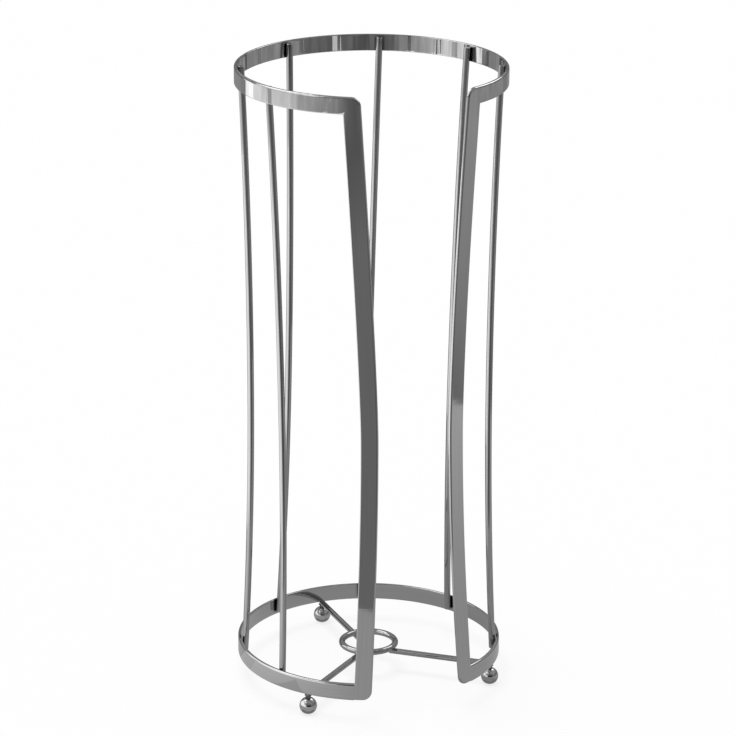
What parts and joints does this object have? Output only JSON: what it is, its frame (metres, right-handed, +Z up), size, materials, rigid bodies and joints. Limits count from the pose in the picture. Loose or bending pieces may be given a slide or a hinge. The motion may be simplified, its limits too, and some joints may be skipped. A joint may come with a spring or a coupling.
{
  "type": "freestanding toilet paper holder",
  "caption": "Free-standing open-fronted cage for spare toilet paper rolls: flat bands joined by flat uprights and bowed round wires, on ball feet.",
  "frame": {"origin": "on the floor under the ball feet, in the middle of the stand's outline", "axes": "+Z up along the cage, -Y towards the open front that rolls are taken from, +X to the right of someone who stands in front and faces that opening"},
  "size_m": [0.16, 0.1572, 0.3802],
  "materials": {
    "strip_chrome": "polished plating on flat strip",
    "wire_chrome": "polished plating on drawn wire",
    "foot_chrome": "mirror-polished plating"
  },
  "bodies": {
    "root": {"upper_band": "strip_chrome", "lower_band": "strip_chrome", "left_upright": "strip_chrome", "right_upright": "strip_chrome", "wire_front_left": "wire_chrome", "wire_side_left": "wire_chrome", "wire_rear_left": "wire_chrome", "wire_rear_right": "wire_chrome", "wire_side_right": "wire_chrome", "wire_front_right": "wire_chrome", "hub_ring": "wire_chrome", "spoke_front_left": "wire_chrome", "spoke_front_right": "wire_chrome", "spoke_rear": "wire_chrome", "stud_front_left": "foot_chrome", "stud_front_right": "foot_chrome", "stud_rear": "foot_chrome", "ball_front_left": "foot_chrome", "ball_front_right": "foot_chrome", "ball_rear": "foot_chrome"}
  },
  "joints": []
}
